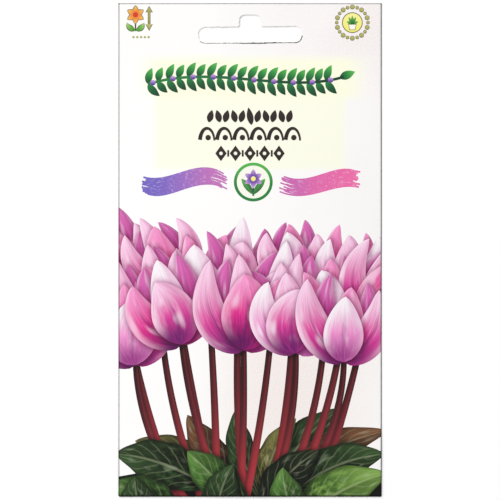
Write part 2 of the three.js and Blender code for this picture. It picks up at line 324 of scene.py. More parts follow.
def printed_paper():
    """Coated paper. The print's colours and shapes are read from the sheet's attributes."""
    finish = Finish("printed_paper", Specular_IOR_Level=0.12)
    mix, layers, noise, place = finish.mix, finish.layers, finish.noise, finish.place
    flat_x, flat_y, _ = finish.parts("flat_place")
    along, across, seed = finish.parts("shape_place")
    kind = finish.read("shape_kind")
    parts = ("Red", "Green", "Blue")
    petal, leaf, stem = (finish.node("SeparateColor", {}, {0: kind}, part) for part in parts)
    stroke = finish.read("shape_kind", "Alpha")
    inked = finish.read("ink_deep", "Alpha")
    shade = finish.read("ink_mid", "Alpha")

    # The white of the paper, with a rosy grey towards the right and the top that is part tint and
    # part painted shade, and the soft yellow panel and glow.
    flat = place(flat_x, flat_y)
    wander = (noise(flat, 0.12, 3.0) - 0.5) * 6

    def area(*numbers):
        x, y = (
            abs(side - middle + wander * wandering).rise(outer, inner)
            for side, middle, outer, inner, wandering in zip((flat_x, flat_y), *numbers)
        )
        return x * y

    # A rosy grey, stronger to the right and the top: part tint of the paper, part painted shade.
    rosy_tint_and_shade = noise(flat, 0.035) * flat_x.rise(-30, 46) * (flat_y.rise(30, 62) + 0.5)
    speckle = noise(flat, 2.6).rise(0.3, 0.7) + 0.5
    rule = (flat_y * 14.5).sine().rise(-0.2, 1) * 0.35 + 0.65
    ground = layers(
        PAPER_WHITE,
        (rosy_tint_and_shade * speckle * 0.9, PAPER_ROSE_TINT_AND_SHADE),
        (area(*PANEL_AREA) * rule, PANEL_YELLOW),
        (area(*WARM_AREA) * speckle * 0.9, PAPER_WARM),
        (area(*GLOW_AREA) * 0.9, GLOW_YELLOW),
    )

    # The inks: each shape runs from its deep colour at the base over its middle one to its light one.
    deep, middle, light = (finish.read(name) for name in ("ink_deep", "ink_mid", "ink_light"))
    ink = layers(deep, (along.rise(0.1, 0.52), middle), (along.rise(0.38, 0.95), light))

    # Petals: pale rims, fine streaks towards the tip, a sheen and a fold down the middle.
    streak = noise(place(across * 3.2 + seed * 9, along * 0.8, seed), 4.2, 3.0, 0.6)
    soft = noise(place(across * 1.2 + seed * 5, along * 1.7, seed), 1.6) - 0.5
    rim = (abs(across) + soft * 0.5).rise(0.5, 1.02) * along.rise(0.06, 0.5)
    sheen = noise(place(across * 1.1 + seed * 7, along * 1.4 + seed * 3), 1.5, 1.5).rise(0.52, 0.7)
    fold = abs(across + soft * 0.35).rise(0.16, 0.0) * along.rise(0.9, 0.4)
    pale = mix(0.45, light, linear("fffafd"))
    petal_ink = layers(
        ink,
        (rim * 0.85, pale),
        (streak.rise(0.45, 0.75) * along.rise(0.1, 0.8) * 0.5, light),
        (streak.rise(0.52, 0.25) * 0.45, middle),
        (sheen * along.rise(0.1, 0.45) * 0.75, pale),
        (fold * 0.5, deep),
        (across.rise(-0.1, 1.1) * 0.5, mix(0.35, middle, deep)),
    )

    # Leaves: a pale midrib, side veins that sweep forward, a gloss and mottled blades.
    drift = noise(place(across * 1.3 + seed * 6, along * 3, seed), 1.5)
    sweep = (along * 7 - abs(across) * 2.4 + drift * 0.7 + seed) * 6.283
    vein = sweep.sine().rise(0.74, 1.0) * abs(across).rise(0.0, 0.2) * abs(across).rise(1.0, 0.7)
    midrib = abs(across).rise(0.09, 0.02)
    mottle = noise(place(across * 2 + seed * 4, along * 5, seed), 1.7, 4.0, 0.65)
    gloss = noise(place(across * 1.5 + seed * 3, along * 2.4), 1.6).rise(0.54, 0.72)
    leaf_ink = layers(
        ink,
        (mottle.rise(0.42, 0.72), light),
        (across.rise(-0.1, 0.1) * 0.45, deep),
        (vein * 0.2 + midrib * 0.38, mix(0.45, light, linear("dfe6b8"))),
        (gloss * abs(across).rise(1.0, 0.5) * 0.45, mix(0.4, light, linear("dfe9c8"))),
        (abs(across).rise(0.72, 1.0) * 0.55, deep),
    )

    # Stems: round, with a light side. Brush strokes: bristle marks along the stroke.
    stem_ink = layers(
        ink,
        (across.rise(-0.1, 1.1) * 0.6 + across.rise(-0.7, -1.1) * 0.4, deep),
        (abs(across + 0.3).rise(0.5, 0.0) * 0.22, light),
    )
    bristle = noise(place(flat_y * 4 + across, flat_x * 0.35), 1.4, 3.0)
    bristle = stroke * bristle.rise(0.5, 0.85) * 0.55
    ink = layers(ink, (petal, petal_ink), (leaf, leaf_ink), (stem, stem_ink))
    ink = mix(bristle, ink, linear("f4ecf6"))

    # Shapes that lie under others are darker beside them. The whole print has a fine screen.
    ink = mix(shade, ink, mix(petal, linear("262420"), linear("962a7a")), "MULTIPLY")
    screen = (flat_x * 10.9 + flat_y * 3.1).sine() * (flat_y * 10.9 - flat_x * 3.1).sine()
    colour = mix(inked, ground, mix(screen.rise(-1, 1) * 0.11, ink, linear("120a10")))

    # The folds and the cut edges are greyed with a painted shadow, strongest on the right and below.
    left = flat_x.rise(0.4 - SIDE_FOLD, -SIDE_FOLD)
    right = flat_x.rise(SIDE_FOLD - 0.2, SIDE_FOLD + 0.02)
    top = flat_y.rise(TOP_EDGE - 0.5, TOP_EDGE - 0.1)
    bottom = flat_y.rise(BOTTOM_EDGE + 0.9, BOTTOM_EDGE + 0.3)
    front = abs(flat_x).rise(BACK_START + 0.3, BACK_START - 0.1)
    front = front * flat_y.rise(FLAP_START - 0.5, FLAP_START)
    # How strong the painted edge shadow is at each place.
    painted_edge_shadow = (left * 0.6 + right + top * 0.65 + bottom * 0.7).rise(0, 1) * front
    painted_edge_shadow = painted_edge_shadow * (noise(flat, 0.9) * 0.5 + 0.75)
    colour = mix(painted_edge_shadow, colour, linear("5e5855"), "MULTIPLY")
    grain = noise(flat, 5.0).rise(0.3, 0.7)
    finish.drive("Base Color", mix(grain * 0.035, colour, linear("6f6a68")))

    # The coating follows the paper's fibres.
    fibres = noise(flat, 2.2, 4.0, 0.6)
    finish.bump(fibres, 0.00002, 0.35)
    finish.drive("Roughness", fibres * 0.12 + 0.54 - inked * 0.08)
    return finish.material


def plain_paper():
    """The unprinted inside of the sheet."""
    finish = Finish("plain_paper", Roughness=0.85)
    fibres = finish.grain(2600, 4.0, 0.6)
    finish.colour(fibres, "f2efe8", "e6e1d6")
    finish.bump(fibres, 0.00003, 0.5)
    return finish.material


def cut_paper():
    """The cut edges: bare fibre, a little grey from handling."""
    finish = Finish("cut_paper", Roughness=0.9)
    fibres = finish.grain(5200, 3.0, 0.7)
    finish.colour(fibres, "f3f0ea", "cfc8bd")
    finish.bump(fibres, 0.00003, 0.7)
    return finish.material


def glue_film():
    finish = Finish("glue_film")
    cloud = finish.grain(420, 3.0)
    finish.colour(cloud, "ece5cf", "dcd2b4")
    finish.drive("Roughness", cloud * 0.3 + 0.25)
    return finish.material


def silver_foil():
    finish = Finish("silver_foil", Metallic=1.0)
    creases = finish.grain(240, 4.0, 0.6)
    finish.colour(creases, "d4d6d8", "b9bcbf")
    finish.drive("Roughness", creases * 0.25 + 0.2)
    finish.bump(creases, 0.0002, 0.6)
    return finish.material


def seed_skin():
    finish = Finish("seed_skin", Roughness=0.7)
    pits = finish.grain(2400, 4.0, 0.65)
    finish.colour(pits.rise(0.3, 0.7), "4a2a18", "8a5a38")
    finish.bump(pits, 0.0001, 0.8)
    return finish.material


def pale_floor():
    finish = Finish("floor", Roughness=0.9, Specular_IOR_Level=0.1)
    finish.colour(finish.grain(3), "ffffff", "fdfdfd")
    return finish.material


# ---- Sums on places ----


def way(angle):
    """The direction at an angle, counter-clockwise from the x axis."""
    return np.array([np.cos(angle), np.sin(angle)])


def spun(points, angle):
    """Points turned counter-clockwise about the origin."""
    return points @ np.array([way(angle), way(angle + math.pi / 2)])


def smooth(x, low, high):
    t = np.clip((x - low) / (high - low), 0, 1)
    return t * t * (3 - 2 * t)


def dome(place, fullness):
    """1 in the middle, 0 at 1 and beyond, and the flatter on top the fuller it is."""
    return 1 - np.minimum(1, abs(place)) ** fullness


def curve(points, steps):
    """Places along the Bezier curve of the given control points."""
    level = np.array(points, float)[:, None, :].repeat(steps + 1, 1)
    t = np.linspace(0, 1, steps + 1)[None, :, None]
    while len(level) > 1:
        level = level[:-1] * (1 - t) + level[1:] * t
    return level[0]


def turned(outline):
    """The outline, counter-clockwise and without points that repeat."""
    points = np.array(outline, float)
    keep = np.hypot(*(points - np.roll(points, 1, 0)).T) > 1e-3
    points = points[keep]
    x, y = points.T
    area = (x * np.roll(y, -1) - np.roll(x, -1) * y).sum()
    return points if area > 0 else points[::-1]


def rounded(corners, steps=6):
    """A closed outline whose corners, each given as (x, y, how far it is rounded), are eased."""
    points = [np.array(corner[:2], float) for corner in corners]
    outline = []
    for i, (corner, (*_, size)) in enumerate(zip(points, corners)):
        ends = []
        for other in (points[i - 1], points[(i + 1) % len(points)]):
            run = other - corner
            ends.append(corner + run / np.hypot(*run) * size)
        outline.extend(curve([ends[0], corner, ends[1]], steps))
    return outline


def filled_in(outline, step):
    """The closed outline with points added, so that none are further apart than step."""
    points = []
    for start, end in zip(outline, np.roll(outline, -1, 0)):
        count = max(1, math.ceil(np.hypot(*(end - start)) / step))
        points.extend(start + (end - start) * i / count for i in range(count))
    return np.array(points)


def inside(outline, points):
    """Which points lie inside a closed outline."""
    x, y = points.T
    hit = np.zeros(len(points), bool)
    for (x0, y0), (x1, y1) in zip(outline, np.roll(outline, -1, 0)):
        crosses = (y0 > y) != (y1 > y)
        if crosses.any():
            hit ^= crosses & (x < x0 + (y - y0) * (x1 - x0) / (y1 - y0 if y1 != y0 else 1))
    return hit


# ---- The printed shapes ----

NO_KIND = (0, 0, 0, 0)
PETAL = (1, 0, 0, 0)
LEAF = (0, 1, 0, 0)
STEM = (0, 0, 1, 0)
STROKE = (0, 0, 0, 1)
BLADE_STEPS = 26
SHADE_REACH = 1.9
TOWARDS_LIGHT = np.array([-0.35, 0.35])


class Patch:
    """A printed area. Its three inks run from its lowest point to its highest."""

    def __init__(self, outline, inks, kind=NO_KIND, seed=0.0, shades=0.0):
        self.outline = turned(outline)
        self.inks = [linear(ink) for ink in inks]
        self.kind = kind
        self.seed = seed
        self.shades = shades  # how dark it makes what lies just outside it

    def places(self, points):
        """How far along and across the shape each point is."""
        low, high = self.outline.min(0), self.outline.max(0)
        share = (points - low) / np.maximum(high - low, 1e-6)
        return share[:, 1], 2 * share[:, 0] - 1


class Blade(Patch):
    """A printed shape along a line, such as a petal or a stem. Its inks run along the line."""

    def __init__(self, points, width, inks, kind=NO_KIND, seed=0.0, shades=0.0, steps=BLADE_STEPS):
        self.line = curve(points, steps)
        t = np.linspace(0, 1, steps + 1)
        self.widths = np.array([width(share) for share in t])
        ahead = np.gradient(self.line, axis=0)
        ahead /= np.maximum(np.hypot(*ahead.T), 1e-9)[:, None]
        left = np.stack([-ahead[:, 1], ahead[:, 0]], 1) * self.widths[:, None]
        super().__init__([*(self.line + left), *(self.line - left)[::-1]], inks, kind, seed, shades)

    def places(self, points):
        starts, ends = self.line[:-1], self.line[1:]
        run = ends - starts
        offset = points[:, None] - starts[None]
        t = ((offset * run).sum(2) / np.maximum((run**2).sum(1), 1e-12)).clip(0, 1)
        away = offset - t[..., None] * run
        nearest = (away**2).sum(2).argmin(1)
        rows = np.arange(len(points))
        t, away, run = t[rows, nearest], away[rows, nearest], run[nearest]
        along = (nearest + t) / len(starts)
        side = np.sign(run[:, 0] * away[:, 1] - run[:, 1] * away[:, 0])
        width = np.interp(along, np.linspace(0, 1, len(self.widths)), self.widths)
        across = -side * np.hypot(*away.T) / np.maximum(width, 0.05)
        return along, across.clip(-1, 1)


def disc(centre, radius, inks, steps):
    turns = np.linspace(0, 2 * math.pi, steps, endpoint=False)
    return Patch(np.array(centre) + radius * way(turns).T, inks)


def bar(left, low, right, high, inks):
    return Patch([(left, low), (right, low), (right, high), (left, high)], inks)


# Widths along a blade, from its base at 0 to its tip at 1


def pointed_width(width, lean, fullness, wave=0.0):
    """Nothing at both ends. wave is how much the edges go in and out on the way."""

    def half_width(t):
        swell = math.sin(math.pi * t**lean) ** fullness if 0 < t < 1 else 0.0
        return width * swell * (1 + wave * math.sin(21 * t))

    return half_width


def petal_width(width):
    return pointed_width(width, 0.8, 0.7)


def leaf_width(width, wave=0.0):
    return pointed_width(width, 0.85, 0.85, wave)


def even_width(start, end):
    return lambda t: start + (end - start) * t


# The picture: goblet-shaped blooms on red stems over dark leaves

HOT_PETAL = ("5e1259", "e0208a", "fa9fd2")
ROSE_PETAL = ("6e1c68", "de3a9a", "ffd6f0")
PALE_PETAL = ("9a3a86", "f28fce", "fffcff")
DEEP_PETAL = ("4e1049", "ae2480", "de6cb8")
STEM_INKS = ("38161b", "5e2429", "b4373f")
BLACK_LEAF = ("090c0a", "11180f", "1d2a18")
DARK_LEAF = ("0a0f09", "172513", "335029")
GREEN_LEAF = ("0f1b0a", "23411a", "5c8a3c")
BRIGHT_LEAF = ("182b0e", "3a5d22", "7fa64e")
OLIVE_LEAF = ("1e1d0d", "4a4a25", "878146")
BROWN_LEAF = ("1c110b", "45281b", "785034")

# Each petal's line from the bloom's base, up and aside in bloom sizes, its half width and its inks
PETALS = [
    ([(0, 0), (0.5, -0.36), (1.0, -0.16)], 0.17, 3),
    ([(0, 0), (0.5, 0.38), (0.97, 0.22)], 0.17, 3),
    ([(0, 0), (0.5, 0.03), (1.03, 0.04)], 0.2, 2),
    ([(0, 0), (0.3, -0.52), (0.9, -0.38)], 0.19, 1),
    ([(0, 0), (0.3, 0.52), (0.88, 0.4)], 0.19, 1),
    ([(0, 0), (0.4, 0.08), (0.84, -0.02)], 0.27, 0),
]

# The inks of a bloom's front, side, middle and back petals
BLOOM_PALETTES = [
    (HOT_PETAL, ROSE_PETAL, ROSE_PETAL, DEEP_PETAL),
    (ROSE_PETAL, HOT_PETAL, PALE_PETAL, DEEP_PETAL),
    (PALE_PETAL, ROSE_PETAL, HOT_PETAL, DEEP_PETAL),
    (ROSE_PETAL, PALE_PETAL, ROSE_PETAL, HOT_PETAL),
]

# Rows of blooms from back to front: how many, the height of their bases and their size
BLOOM_ROWS = [(5, -11, 21), (5, -21, 23), (5, -32, 25)]

# Leaves: the place of the base, how far the tip reaches aside and up, the half width and the inks
BACK_LEAVES = [
    (-4, -72, -31, 14, 5.5, OLIVE_LEAF),
    (-2, -74, -17, 24, 5, BROWN_LEAF),
    (3, -75, -7, 27, 4.5, DARK_LEAF),
    (6, -74, 22, 26, 6, DARK_LEAF),
    (9, -72, 33, 17, 5.5, BROWN_LEAF),
    (4, -74, 10, 23, 4.5, OLIVE_LEAF),
]
FRONT_LEAVES = [
    (-12, -72, -29, 10, 7, DARK_LEAF),
    (14, -73, 27, 11, 6.5, DARK_LEAF),
    (0, -80, -19, 19, 6, GREEN_LEAF),
    (-20, -84, -22, 13, 7, GREEN_LEAF),
    (4, -79, 17, 18, 6, BLACK_LEAF),
    (-10, -84, 5, 19, 5.5, DARK_LEAF),
    (14, -84, 28, 16, 7.5, BRIGHT_LEAF),
    (16, -86, -6, 20, 5.5, GREEN_LEAF),
    (-30, -86, -5, 17, 6, DARK_LEAF),
]


def bloom(base, tilt, size, palette, chance):
    """A goblet of petals that stands on base and leans right by tilt."""
    flip = chance.choice([-1, 1])
    petals = []
    for line, width, inks in PETALS:
        points = []
        for i, (far, out) in enumerate(line):
            far += chance.uniform(-0.06, 0.06) * i
            out = flip * out + chance.uniform(-0.06, 0.06) * i
            points.append(base + size * spun(np.array([out, far]), -tilt))
        wide = petal_width(size * width * chance.uniform(0.88, 1.12))
        petals.append(Blade(points, wide, palette[inks], PETAL, chance.random(), 0.75))
    return petals


def leaf(x, y, reach, lift, wide, inks, chance):
    base = np.array([x, y])
    bend = (0.5 * reach - 0.16 * lift, 0.5 * lift + 0.16 * abs(reach))
    points = [base, base + bend, base + (reach, lift)]
    return Blade(points, leaf_width(wide, 0.045), inks, LEAF, chance.random(), 0.8)


def picture():
    """The blooms in rows from back to front, each row's stems before its blooms, and the leaves."""
    chance = random.Random(11)
    ground = [(-41, -80), (41, -80), (41, -68), (24, -63)]
    ground += [(8, -60), (-8, -61), (-24, -66), (-41, -69)]
    shapes = [Patch(ground, BLACK_LEAF)]
    shapes += [leaf(*row, chance) for row in BACK_LEAVES]
    for row, (count, height, size) in enumerate(BLOOM_ROWS):
        blooms = []
        for i in range(count):
            x = (i + 0.25 + 0.5 * (row % 2)) / count * 82 - 41 + chance.uniform(-2.5, 2.5)
            base = np.array([x, height + chance.uniform(-3.5, 3.5)])
            tilt = math.radians(0.5 * x + chance.uniform(-12, 12))
            blooms.append((base, tilt, size * chance.uniform(0.9, 1.1)))
        for base, tilt, _ in blooms:
            foot = np.array([base[0] * 0.42 + chance.uniform(-5, 5), -78])
            bend = base - (base[1] - foot[1]) * 0.5 * np.array([math.sin(tilt) * 0.4, 1])
            wide = even_width(0.92, 1.32)
            shapes.append(Blade([base, bend, foot], wide, STEM_INKS, STEM, chance.random(), 0.35))
        for base, tilt, tall in blooms:
            shapes += bloom(base, tilt, tall, chance.choice(BLOOM_PALETTES), chance)
    return shapes + [leaf(*row, chance) for row in FRONT_LEAVES]


# The small motifs of the front

GREEN_UP = ("1d5a35", "2c8442", "58b652")
GREEN_DOWN = ("2b7f43", "23603a", "1b4530")
GREEN_RING = ("2c8442", "2c8442", "58b652")
SPROUT_GREEN = ("2f6f35", "4c9445", "7bb85c")
LIGHT_GREEN = ("4f9a3a", "78b850", "a5d073")
DARK_INK = ("2e2624", "332a27", "3a302c")
LINE_INK = ("5a5a2c",) * 3
KHAKI_INK = ("a4a15a", "b4b168", "c0bd78")
CREAM_INK = ("fdfdf0",) * 3
YELLOW_INK = ("fbf17c", "fcf388", "fdf69c")
ORANGE_INK = ("ee7d34", "f39a45", "f8bd63")
RED_INK = ("d8432f",) * 3
VIOLET_PETAL = ("5c3f96", "8a63b8", "c8a4dc")
RIBBON_LEFT = ("7867c4", "9a70c6", "c676bc")
RIBBON_RIGHT = ("cf6cb4", "e56cae", "f06fac")


def petal_ring(centre, count, reach, width, inks, turn=0.0):
    """Small petals round a centre."""
    tips = [centre + reach * way(turn + 2 * math.pi * i / count) for i in range(count)]
    return [Blade([centre, tip], petal_width(width), inks, steps=9) for tip in tips]


def leaf_fan(base, leaves, width, inks, steps):
    """Small leaves from one base, each given as its angle and its length."""
    tips = [base + size * way(angle) for angle, size in leaves]
    return [Blade([base, tip], leaf_width(width), inks, steps=steps) for tip in tips]


def garland():
    """A leafy twig across the top, where a title would stand."""
    bends = [(-31.0, 50.4), (-11, 56.6), (11, 47.2), (28.5, 52.6)]
    line = curve(bends, 40)
    shapes = []
    for i in range(0, 38, 2):
        heading = math.atan2(*(line[i + 2] - line[i])[::-1])
        for side, inks in ((-1, GREEN_DOWN), (1, GREEN_UP)):
            angle = heading + side * 1.05
            size = 4.5 if i % 4 else 5.1
            middle = line[i] + size * 0.5 * way(angle + side * 0.25)
            tip = line[i] + size * way(angle)
            shapes.append(Blade([line[i], middle, tip], leaf_width(1.15), inks, steps=14))
    tip = line[-1] + (3.4, 1.6)
    shapes.append(Blade([line[-2], tip], leaf_width(1.3), GREEN_UP, steps=14))
    shapes.append(Blade(bends, even_width(0.42, 0.42), GREEN_DOWN, steps=40))
    return shapes + [disc(spot, 0.85, VIOLET_PETAL, steps=16) for spot in line[1:38:4]]


def ornaments():
    """Three slim ornaments in the panel, where lines of words would stand."""
    shapes = []
    for i in range(11):
        x, lean = 2.4 * (i - 5), 0.5 * (-1) ** i
        high = 1.9 + 0.8 * (i == 5)
        points = [(x - lean, 40.6 - high), (x + lean, 40.6 + high)]
        shapes.append(Blade(points, leaf_width(1.0), DARK_INK, steps=12))
    for i in range(6):
        x = -15.2 + 5.2 * i
        points = [(x, 33.4), (x + 0.6, 38.6), (x + 4.2, 37.6), (x + 4.4, 33.2)]
        shapes.append(Blade(points, even_width(0.62, 0.3), DARK_INK, steps=16))
        shapes.append(disc((x + 2.5, 34.1), 0.85, DARK_INK, steps=14))
    for i in range(5):
        x = 4.4 * (i - 2)
        shapes.append(Patch([(x - 1.75, 29.3), (x, 26.9), (x + 1.75, 29.3), (x, 31.7)], DARK_INK))
        shapes.append(disc((x, 29.3), 0.55, CREAM_INK, steps=12))
        if i < 4:
            shapes.append(bar(x + 1.9, 28.3, x + 2.5, 30.3, DARK_INK))
    return shapes


def ribbon(chance):
    """A brush stroke that passes behind the medallion."""
    strands = []
    for i in range(13):
        level = 5.0 * (i / 12 - 0.5)
        inner = level * 0.92
        start, end = -33 + chance.uniform(-0.8, 2.0), -7.4 + chance.uniform(-1.8, 0.6)
        points = [(start, 19.6 + level), (-24, 17 + level), (-16, 26 + level), (end, 20.8 + inner)]
        wide = even_width(0.3, 0.24)
        strands.append(Blade(points, wide, RIBBON_LEFT, STROKE, chance.random(), steps=20))
        start, end = 9.4 + chance.uniform(-0.6, 1.8), 33 + chance.uniform(-2.4, 0.6)
        points = [(start, 20 + inner), (18, 16.4 + level), (25, 23.5 + level), (end, 21.6 + level)]
        wide = even_width(0.24, 0.3)
        strands.append(Blade(points, wide, RIBBON_RIGHT, STROKE, chance.random(), steps=20))
    chance.shuffle(strands)
    return strands


def medallion(centre):
    """A green ring round a small blossom."""
    centre = np.array(centre)
    shapes = [disc(centre, 5.9, GREEN_RING, steps=48), disc(centre, 5.0, CREAM_INK, steps=44)]
    for side in (-1, 1):
        points = [centre + (0, -3.8), centre + (side * 2.2, -0.6), centre + (side * 3.6, 1.0)]
        shapes.append(Blade(points, leaf_width(0.95), GREEN_UP, LEAF, steps=14))
    shapes.append(Blade([centre + (0, -4.2), centre], even_width(0.3, 0.25), GREEN_DOWN, steps=4))
    shapes += petal_ring(centre + (0, 1), 6, 2.9, 0.85, VIOLET_PETAL, math.pi / 6)
    shapes.append(disc(centre + (0, 1), 0.75, YELLOW_INK, steps=16))
    return shapes


def height_sign():
    """A small flower beside an arrow that shows how tall it grows."""
    head = np.array([-34.8, 71.5])
    shapes = [Blade([head + (0, -5), head], even_width(0.24, 0.24), LINE_INK, steps=4)]
    for side in (-1, 1):
        points = [head + (0, -4.8), head + (side * 2.2, -4.2), head + (side * 2.6, -2.4)]
        shapes.append(Blade(points, leaf_width(0.92), LINE_INK, steps=12))
        shapes.append(Blade(points, leaf_width(0.66), LIGHT_GREEN, steps=12))
    shapes += petal_ring(head, 6, 2.9, 0.98, LINE_INK, math.pi / 2)
    shapes += petal_ring(head, 6, 2.7, 0.8, ORANGE_INK, math.pi / 2)
    shapes.append(disc(head, 0.8, RED_INK, steps=14))
    for grow, inks in ((0.22, LINE_INK), (0, KHAKI_INK)):
        shapes.append(bar(-30.85 - grow, 68, -30.45 + grow, 72.8, inks))
        for y, up in ((66.9, 1), (73.9, -1)):
            end = y + up * 1.7
            points = [(-30.65, y - up * grow * 1.6), (-29.75 + grow, end), (-31.55 - grow, end)]
            shapes.append(Patch(points, inks))
    for i in range(5):
        shapes.append(disc((-35.4 + 1.15 * i, 64.7), 0.38, KHAKI_INK, steps=12))
    return shapes


def pot_shape(centre, foot, low, rim, high, inks):
    """A plant pot, from half the width of its foot to half the width of its rim."""
    corners = [(-foot, low), (foot, low), (rim, high), (-rim, high)]
    return Patch([centre + corner for corner in corners], inks)


def indoor_sign():
    """A potted plant in a ring of dots."""
    centre = np.array([31.1, 69.1])
    shapes = []
    for i in range(20):
        spot = centre + 4.75 * way(2 * math.pi * i / 20)
        size = 0.62 if i % 2 else 0.42
        shapes.append(disc(spot, size + 0.14, LINE_INK, steps=14))
        shapes.append(disc(spot, size, KHAKI_INK, steps=14))
    shapes.append(disc(centre, 3.15, LINE_INK, steps=32))
    shapes.append(disc(centre, 2.9, YELLOW_INK, steps=30))
    for grow, inks in ((0.16, LINE_INK), (0, CREAM_INK)):
        shapes.append(pot_shape(centre, 0.75 + grow, -2.1 - grow, 1.1 + grow, -0.6 + grow, inks))
    leaves = ((0.45, 2.0), (1.1, 2.5), (1.57, 2.7), (2.04, 2.5), (2.7, 2.0))
    return shapes + leaf_fan(centre + (0, -0.5), leaves, 0.42, SPROUT_GREEN, 10)


# The back: a sowing calendar, signs and bars of grey in place of text

GREY_INK = ("8f8d8b",) * 3
HEADING_INK = ("2c8442",) * 3
PALE_GREEN = ("e2efd8",) * 3
WATER_INK = ("3b7fb8",) * 3
CLAY_INK = ("b06a44",) * 3

# The columns of grey bars: their left and right ends, and each block's top and number of lines
TEXT_COLUMNS = [(44, 83, ((50, 6), (32, 7), (12, 5))), (-70, -44, ((2, 5), (-14, 7)))]

# The strokes of the digits from 0 to 9. Each stroke's ends are two of six places, left and right of
# each other and numbered from below: 0 1, 2 3 and 4 5.
DIGITS = [
    "45 01 24 35 02 13",
    "35 13",
    "45 35 23 02 01",
    "45 35 23 13 01",
    "24 35 23 13",
    "45 24 23 13 01",
    "45 24 23 02 13 01",
    "45 35 13",
    "45 23 01 24 35 02 13",
    "45 24 35 23 13 01",
]


def number(value, x, y, size):
    """A plain number in straight strokes, centred on x."""
    shapes = []
    digits = str(value)
    for i, digit in enumerate(digits):
        left = x + size * (0.8 * i - 0.4 * len(digits) + 0.15)
        for stroke in DIGITS[int(digit)].split():
            places = [divmod(int(place), 2) for place in stroke]
            ends = [(left + size / 2 * aside, y + size / 2 * up) for up, aside in places]
            shapes.append(Blade(ends, even_width(size * 0.07, size * 0.07), DARK_INK, steps=1))
    return shapes


def bars_of_text(left, right, top, count, chance):
    shapes = []
    for i in range(count):
        end = right if i < count - 1 else left + (right - left) * chance.uniform(0.4, 0.7)
        y = top - 2.1 * i
        x = left
        while x < end - 2:
            length = min(chance.uniform(3, 9), end - x)
            shapes.append(bar(x, y - 0.75, x + length, y, GREY_INK))
            x += length + 0.9
    return shapes


def striped_code(left, low, chance):
    """Upright bars as on the back of goods, with a plain number under them."""
    shapes = []
    x = left
    for _ in range(26):
        thick = chance.choice([0.3, 0.3, 0.6, 0.9])
        shapes.append(bar(x, low, x + thick, low + 11, DARK_INK))
        x += thick + chance.choice([0.3, 0.6, 0.6])
    for i in range(6):
        shapes += number(2 * i % 9, left + (x - left) * (i + 0.5) / 6, low - 2.6, 1.8)
    return shapes


def calendar():
    """Twelve boxes with plain numbers, some of them filled."""
    shapes = []
    for i in range(12):
        x, y = -70 + 9 * (i % 3), 42 - 9.5 * (i // 3)
        shapes.append(bar(x, y, x + 8, y + 8.5, HEADING_INK))
        inks = PALE_GREEN if 1 < i < 6 else CREAM_INK
        shapes.append(bar(x + 0.3, y + 0.3, x + 7.7, y + 8.2, inks))
        shapes += number(i + 1, x + 4, y + 2.6, 3.4)
    return shapes


def care_signs():
    """A sun, a drop of water and a potted plant, each in a ring."""
    sun, drop, pot = (np.array([x, -20.0]) for x in (49.5, 63.5, 77.5))
    shapes = []
    for centre in (sun, drop, pot):
        shapes += [disc(centre, 5.2, HEADING_INK, steps=40), disc(centre, 4.8, CREAM_INK, steps=40)]
    shapes += petal_ring(sun, 12, 4.0, 0.34, ORANGE_INK)
    shapes.append(disc(sun, 1.9, YELLOW_INK, steps=24))
    drop_width = pointed_width(2.1, 0.595, 0.85)
    shapes.append(Blade([drop + (0, -3.2), drop + (0, 3.6)], drop_width, WATER_INK, steps=20))
    shapes.append(pot_shape(pot, 1.6, -3.4, 2.3, -0.4, CLAY_INK))
    leaves = ((0.6, 3.8), (1.57, 3.8), (2.54, 3.8))
    return shapes + leaf_fan(pot + (0, -0.4), leaves, 0.8, GREEN_UP, 12)


def back_print():
    chance = random.Random(5)
    shapes = []
    for left, right, blocks in TEXT_COLUMNS:
        for top, count in blocks:
            shapes.append(bar(left, top, left + (right - left) * 0.45, top + 1.7, HEADING_INK))
            shapes += bars_of_text(left, right, top - 2.6, count, chance)
    return shapes + calendar() + care_signs() + striped_code(50.5, -50, chance)


def front_print():
    chance = random.Random(2)
    shapes = picture() + ribbon(chance) + medallion((1.0, 20.6)) + garland() + ornaments()
    return shapes + height_sign() + indoor_sign() + [slot_scuff()]


def slot_scuff():
    """The dark, ragged line along the slot's torn lower edge, widest in the middle."""
    slot = slot_outline(rough=False)
    low = slot[slot[:, 1] < SLOT_FOOT + 1.5 + 0.06 * slot[:, 0]]
    low = low[np.argsort(low[:, 0])]
    x = low[:, 0]
    half = SLOT_LOBE_HEIGHT / 2
    reach = SLOT_WIDTH / 2 - half
    away = low - np.stack([x.clip(-reach, reach), np.full(len(x), SLOT_FOOT + half)], 1)
    away /= np.hypot(*away.T)[:, None]
    ragged = np.abs(np.random.default_rng(8).normal(0, 1, len(x))).clip(0, 1.3)
    widths = 0.12 + 0.06 * ragged + 0.2 * np.exp(-(((x - 2) / 7) ** 2)) + 0.14 * smooth(x, 11, 14.5)
    return Patch([*(low - 0.3 * away), *(low + away * widths[:, None])[::-1]], ("4a4745",) * 3)


# ---- The flat sheet ----


def slot_outline(rough=True):
    """The punched slot on the front, with the slight roughness of its cut."""
    shoulder = SLOT_FOOT + SLOT_LOBE_HEIGHT
    end, neck = SLOT_WIDTH / 2, SLOT_BUMP_WIDTH / 2
    right = [(end, SLOT_FOOT, SLOT_END_ROUND), (end, shoulder, SLOT_END_ROUND)]
    right += [(neck, shoulder, SLOT_NECK_ROUND), (neck, SLOT_TOP, SLOT_BUMP_ROUND)]
    left = [(-x, y, size) for x, y, size in right]
    corners = left[:1] + right + left[:0:-1]
    points = filled_in(np.array(rounded(corners)), 0.5)
    centre = np.array([0, SLOT_FOOT + SLOT_LOBE_HEIGHT / 2])
    points = spun(points - centre, SLOT_TILT) + centre
    chance = np.random.default_rng(3)
    return turned(points + chance.normal(0, SLOT_ROUGHNESS if rough else 0, points.shape))


